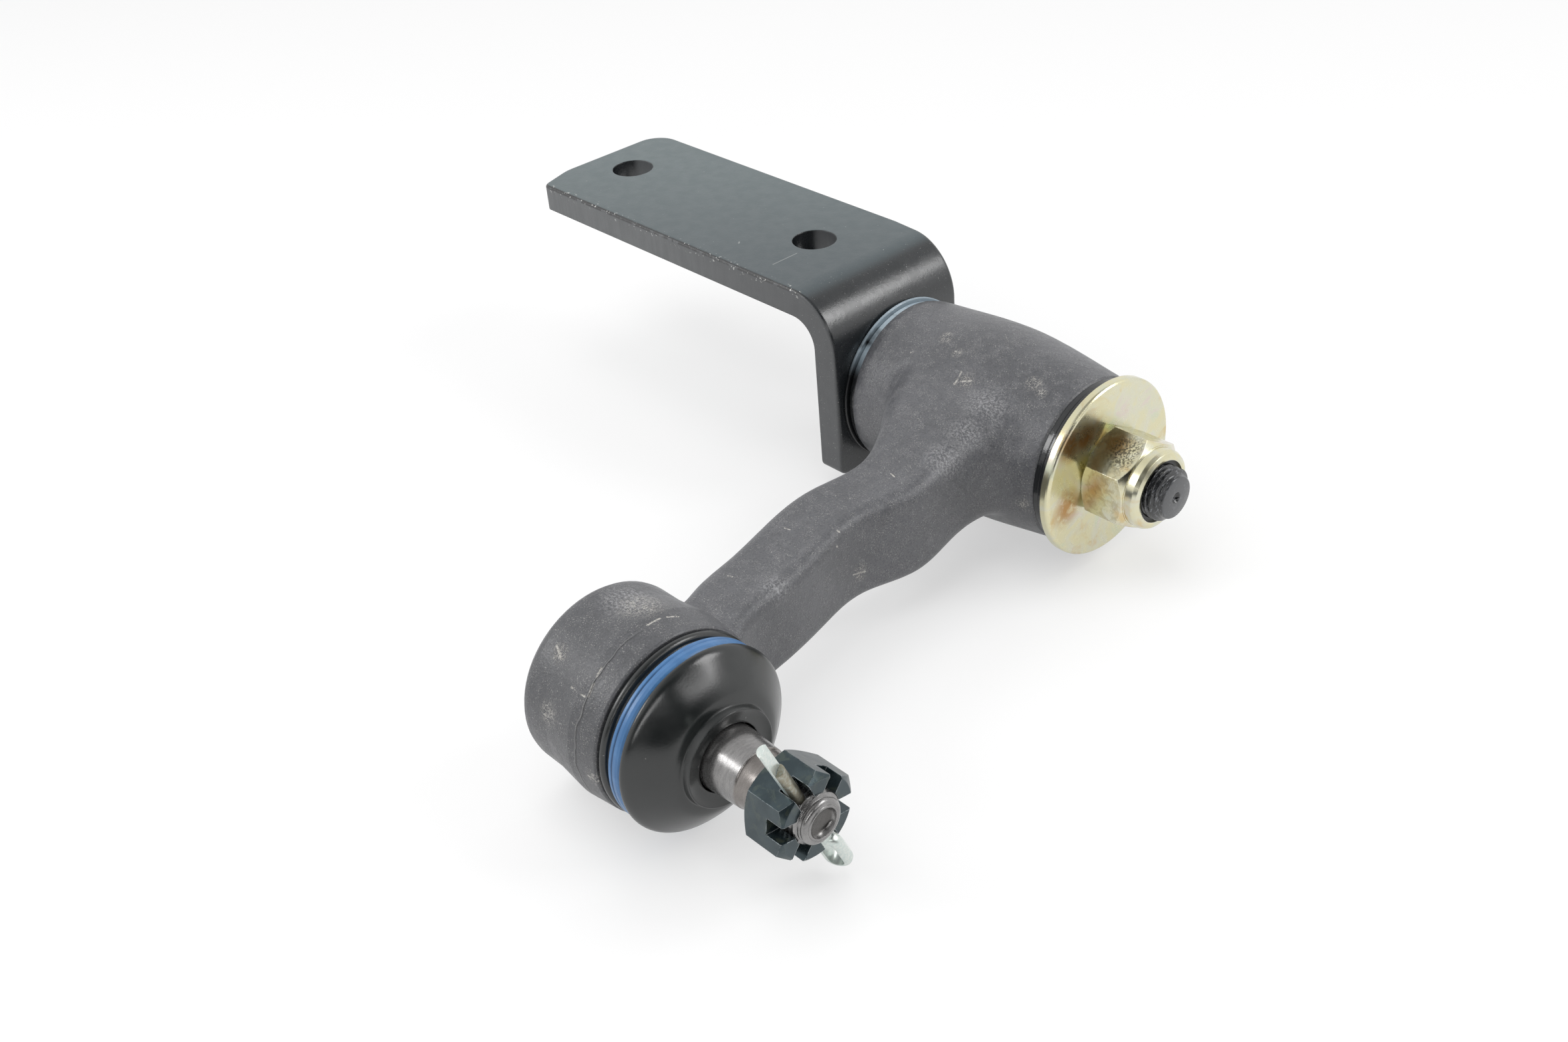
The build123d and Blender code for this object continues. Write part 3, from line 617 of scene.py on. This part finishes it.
FINISHES = {
    "bracket": PAINT,
    "pivot_shaft": SHAFT,
    "thrust_washer": GLOSS,
    "arm": FORGING,
    "rear_bush": GLOSS,
    "front_bush": GLOSS,
    "front_ring": GLOSS,
    "pivot_washer": ZINC,
    "pivot_nut": ZINC,
    "nut_insert": NYLON,
    "ball_seat": SEAT,
    "seat_cup": SEAT,
    "seat_spring": SPRING,
    "end_cover": FORGING,
    "ball_stud": STEEL,
    "castle_nut": OXIDE,
    "cotter_pin": PIN,
    "dust_boot": RUBBER,
    "boot_ring": BLUE,
}
for name, material in FINISHES.items():
    cad[name].data.materials.clear()
    cad[name].data.materials.append(material)


# Pieces with more detail than the CAD

def pivot_shaft():
    """The pivot shaft with its thread, which shows past the locking nut."""
    cut = thread(7.0, 6.15, 1.5)
    rows = [
        (-11.0, 0), (-11.0, 10.5), (-9.4, 13.0), (-7.8, 13.0), (-7.8, 9.0), (0.0, 9.0), (0.0, 9.5),
        (68.7, 9.5), (68.7, 7.0), (82.0, 7.0),
    ]
    rows += [(x, cut) for x in steps(82.4, 90.2, 88)]
    rows += [(90.4, 6.1), (90.6, 5.75), (90.9, 5.6), (91.7, 5.6), (91.92, 5.45), (92.0, 5.2)]
    rows += [(92.0, 1.5), (91.5, 1.2), (91.0, 0.4), (90.9, 0)]
    piece = skin("pivot_shaft_threaded", rows, PIVOT_AXIS)
    piece.data.materials.append(SHAFT)
    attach(piece, "bracket")
    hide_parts("pivot_shaft")


def ball_stud():
    """The ball stud with its thread, which shows in the nut's slots and past its end."""
    cut = thread(6.0, 5.3, 1.25)
    rows = []
    for degrees in range(18, 141, 4):
        a = math.radians(degrees)
        rows.append((BALL_X - BALL_RADIUS * math.cos(a), BALL_RADIUS * math.sin(a)))
    rows.insert(0, (rows[0][0], 0))
    rows += [
        (61.4, 7.9), (77.0, 7.9), (89.15, 7.15), (89.3, 6.95), (89.8, 6.8), (94.3, 6.7), (94.6, 6.0),
        (94.8, 5.4),
    ]
    rows += [(x, cut) for x in steps(95.0, 106.3, 108)]
    rows += [
        (106.5, 5.35), (106.75, 5.05), (106.95, 5.1), (107.2, 5.3), (107.6, 5.2), (107.95, 4.85),
        (108.15, 4.4), (108.15, 4.15), (108.05, 4.0), (108.25, 3.85), (108.3, 3.7), (108.25, 3.5),
        (107.4, 3.25), (106.9, 2.7), (106.6, 1.4), (106.5, 0),
    ]
    piece = skin("ball_stud_threaded", rows, BALL_AXIS)
    piece.data.materials.append(STEEL)
    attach(piece, "stud")
    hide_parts("ball_stud")


def dust_boot():
    """The boot with smooth curves."""
    outer = [
        (63.5, 18.9), (63.5, 20.9), (63.6, 21.5), (64.1, 21.8), (64.8, 21.75), (65.3, 21.3), (65.5, 20.6),
        (65.8, 20.3), (68.0, 20.3), (70.5, 20.3), (70.7, 20.5), (70.72, 21.5), (70.85, 21.85), (71.2, 22.0),
        (71.9, 21.85), (72.7, 21.3), (73.8, 20.1), (75.0, 18.75), (76.2, 17.3), (77.2, 15.95), (77.8, 15.0),
        (78.2, 14.2), (78.45, 13.3), (78.6, 12.5), (78.65, 12.1), (78.8, 11.85), (79.2, 11.75),
        (80.2, 11.6), (80.45, 11.55), (80.55, 11.4), (80.5, 11.2), (80.3, 10.7), (80.1, 10.0),
        (80.0, 9.2), (80.0, 8.5), (79.9, 8.15),
    ]
    inner = [
        (78.0, 8.15), (76.1, 8.2), (76.1, 9.6), (76.2, 10.5), (75.2, 13.4), (73.6, 18.0), (72.2, 19.6),
        (71.2, 20.2), (70.4, 19.2), (70.0, 18.9),
    ]
    rows = rounded(outer, 3) + rounded(inner, 2)
    rows.append(rows[0])
    piece = skin("dust_boot_soft", rows, BALL_AXIS)
    piece.data.materials.append(RUBBER)
    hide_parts("dust_boot")
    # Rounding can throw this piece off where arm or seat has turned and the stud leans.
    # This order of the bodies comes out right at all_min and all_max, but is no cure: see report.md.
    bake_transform(piece)


pivot_shaft()
ball_stud()
dust_boot()


# Floor, light and camera

# The floor, in metres, and the share of it that glows white where it is seen.
FLOOR_HALF = 3.0
FLOOR_LEVEL = -0.0576
FLOOR_GREY = 0.90
FLOOR_GLOW = 0.53

# The light of the surroundings: all round, added at the back, and taken off overhead in reflections.
SKY = 0.35
BACK_GLOW = 0.9
CEILING_SHADE = 0.6

# Lamps stand so many metres from the place that they face, which is given in millimetres.
LAMP_DISTANCE = 1.2
LAMPS_FACE = (30, -60, 0)

# The camera, fitted to the photo's edges and circles, in the CAD frame.
FILM_WIDTH = 36.0
LENS = 40.49
CAMERA_PLACE = (0.375004, -0.299764, 0.209291)
CAMERA_RIGHT = Vector((0.67614623, 0.73338659, -0.07050091))
CAMERA_UP = Vector((-0.37198509, 0.42240939, 0.82655756))
CAMERA_AHEAD = Vector((-0.63596648, 0.53264850, -0.55841940))


def sum_node(tree, kind, a, b):
    """A Math node of the given kind over two sockets or numbers."""
    node = tree.nodes.new("ShaderNodeMath")
    node.operation = kind
    for socket, value in zip(node.inputs, (a, b)):
        if isinstance(value, bpy.types.NodeSocket):
            tree.links.new(value, socket)
        else:
            socket.default_value = value
    return node.outputs[0]


def choose(tree, share, a, b):
    """A Mix Shader node between the shaders a and b."""
    node = tree.nodes.new("ShaderNodeMixShader")
    for socket, value in zip(node.inputs, (share, a, b)):
        tree.links.new(value, socket)
    return node.outputs[0]


def seen_directly(tree):
    """1 for what the camera sees, also in metal and through glass, and 0 for light that falls on things."""
    path = tree.nodes.new("ShaderNodeLightPath")
    total = path.outputs["Is Camera Ray"]
    for kind in ("Is Glossy Ray", "Is Transmission Ray"):
        total = sum_node(tree, "MAXIMUM", total, path.outputs[kind])
    return total


def floor():
    """A white floor that still takes the object's shadow."""
    mesh = bpy.data.meshes.new("floor")
    signs = ((-1, -1), (1, -1), (1, 1), (-1, 1))
    corners = [(a * FLOOR_HALF, b * FLOOR_HALF, FLOOR_LEVEL) for a, b in signs]
    mesh.from_pydata(corners, [], [(0, 1, 2, 3)])
    piece = bpy.data.objects.new("floor", mesh)
    bpy.context.scene.collection.objects.link(piece)
    material = bpy.data.materials.new("floor")
    material.use_nodes = True
    tree = material.node_tree
    surface = tree.nodes["Principled BSDF"]
    surface.inputs["Base Color"].default_value = (FLOOR_GREY, FLOOR_GREY, FLOOR_GREY, 1)
    surface.inputs["Roughness"].default_value = 0.9
    surface.inputs["Specular IOR Level"].default_value = 0.1
    glow = tree.nodes.new("ShaderNodeEmission")
    share = sum_node(tree, "MULTIPLY", seen_directly(tree), FLOOR_GLOW)
    mixed = choose(tree, share, surface.outputs[0], glow.outputs[0])
    tree.links.new(mixed, tree.nodes["Material Output"].inputs[0])
    mesh.materials.append(material)


def direction(azimuth, elevation):
    """The way to a place in the sky, its azimuth taken from X towards Y."""
    a = math.radians(azimuth)
    e = math.radians(elevation)
    return Vector((math.cos(e) * math.cos(a), math.cos(e) * math.sin(a), math.sin(e)))


def world():
    """White surroundings.

    Where they show in the object, they are dark behind the camera and darker overhead."""
    sky = bpy.data.worlds.new("studio")
    sky.use_nodes = True
    tree = sky.node_tree
    tree.nodes.clear()
    out = tree.nodes.new("ShaderNodeOutputWorld")
    seen = tree.nodes.new("ShaderNodeBackground")
    seen.inputs[0].default_value = (1, 1, 1, 1)
    lit = tree.nodes.new("ShaderNodeBackground")
    lit.inputs[0].default_value = (1, 1, 1, 1)
    way = tree.nodes.new("ShaderNodeTexCoord").outputs["Generated"]

    def lobe(azimuth, elevation, wide, narrow, strength):
        """The strength within narrow degrees of a direction, fading to 0 at wide degrees."""
        dot = tree.nodes.new("ShaderNodeVectorMath")
        dot.operation = "DOT_PRODUCT"
        tree.links.new(way, dot.inputs[0])
        dot.inputs[1].default_value = direction(azimuth, elevation)
        node = tree.nodes.new("ShaderNodeMapRange")
        node.interpolation_type = "SMOOTHSTEP"
        tree.links.new(dot.outputs["Value"], node.inputs[0])
        node.inputs[1].default_value = math.cos(math.radians(wide))
        node.inputs[2].default_value = math.cos(math.radians(narrow))
        node.inputs[3].default_value = 0.0
        node.inputs[4].default_value = strength
        return node.outputs[0]

    behind_camera = (-30, 8, 70, 30)
    strength = sum_node(tree, "ADD", SKY, lobe(130, 5, 75, 25, BACK_GLOW))
    strength = sum_node(tree, "ADD", strength, lobe(*behind_camera, -SKY))
    tree.links.new(strength, lit.inputs[1])
    mirrored = sum_node(tree, "ADD", 1.0, lobe(*behind_camera, -1.0))
    mirrored = sum_node(tree, "ADD", mirrored, lobe(40, 78, 45, 16, -CEILING_SHADE))
    camera_ray = tree.nodes.new("ShaderNodeLightPath").outputs["Is Camera Ray"]
    tree.links.new(sum_node(tree, "MAXIMUM", camera_ray, mirrored), seen.inputs[1])
    mixed = choose(tree, seen_directly(tree), lit.outputs[0], seen.outputs[0])
    tree.links.new(mixed, out.inputs[0])
    bpy.context.scene.world = sky


def softbox(name, azimuth, elevation, size, radiance, tilt=0.0, mirrored=True):
    """A lamp of so many metres by so many, turned by tilt in its plane, that faces the object.

    It shows in glossy things only where mirrored."""
    lamp = bpy.data.lights.new(name, "AREA")
    lamp.shape = "RECTANGLE"
    lamp.size, lamp.size_y = size
    lamp.energy = radiance * math.pi * size[0] * size[1]
    piece = bpy.data.objects.new(name, lamp)
    bpy.context.scene.collection.objects.link(piece)
    piece.visible_camera = False
    piece.visible_glossy = mirrored
    way = direction(azimuth, elevation)
    turn = way.to_track_quat("Z", "Y").to_matrix().to_4x4() @ Matrix.Rotation(math.radians(tilt), 4, "Z")
    piece.matrix_world = Matrix.Translation(spot(*LAMPS_FACE) + way * LAMP_DISTANCE) @ turn


def camera():
    """The camera, at the photo's viewing angle."""
    lens = bpy.data.cameras.new("camera")
    lens.sensor_width = FILM_WIDTH
    lens.lens = LENS
    lens.clip_start = 0.01
    lens.clip_end = 20.0
    piece = bpy.data.objects.new("camera", lens)
    bpy.context.scene.collection.objects.link(piece)
    turn = Matrix((CAMERA_RIGHT, CAMERA_UP, -CAMERA_AHEAD)).transposed()
    piece.matrix_world = Matrix.Translation(CAMERA_PLACE) @ turn.to_4x4()
    bpy.context.scene.camera = piece


floor()
world()
softbox("left_box", -132, 32, (0.38, 0.38), 7.0)
softbox("right_box", 46, 40, (0.42, 0.42), 6.0)
softbox("top_box", -110, 76, (1.1, 1.1), 2.2, mirrored=False)
softbox("low_front_box", -42, 26, (0.95, 0.12), 6.2, tilt=38)
softbox("high_front_box", 18, 32, (0.75, 0.13), 4.0, tilt=-9)
camera()
bpy.context.scene.view_settings.view_transform = "Standard"
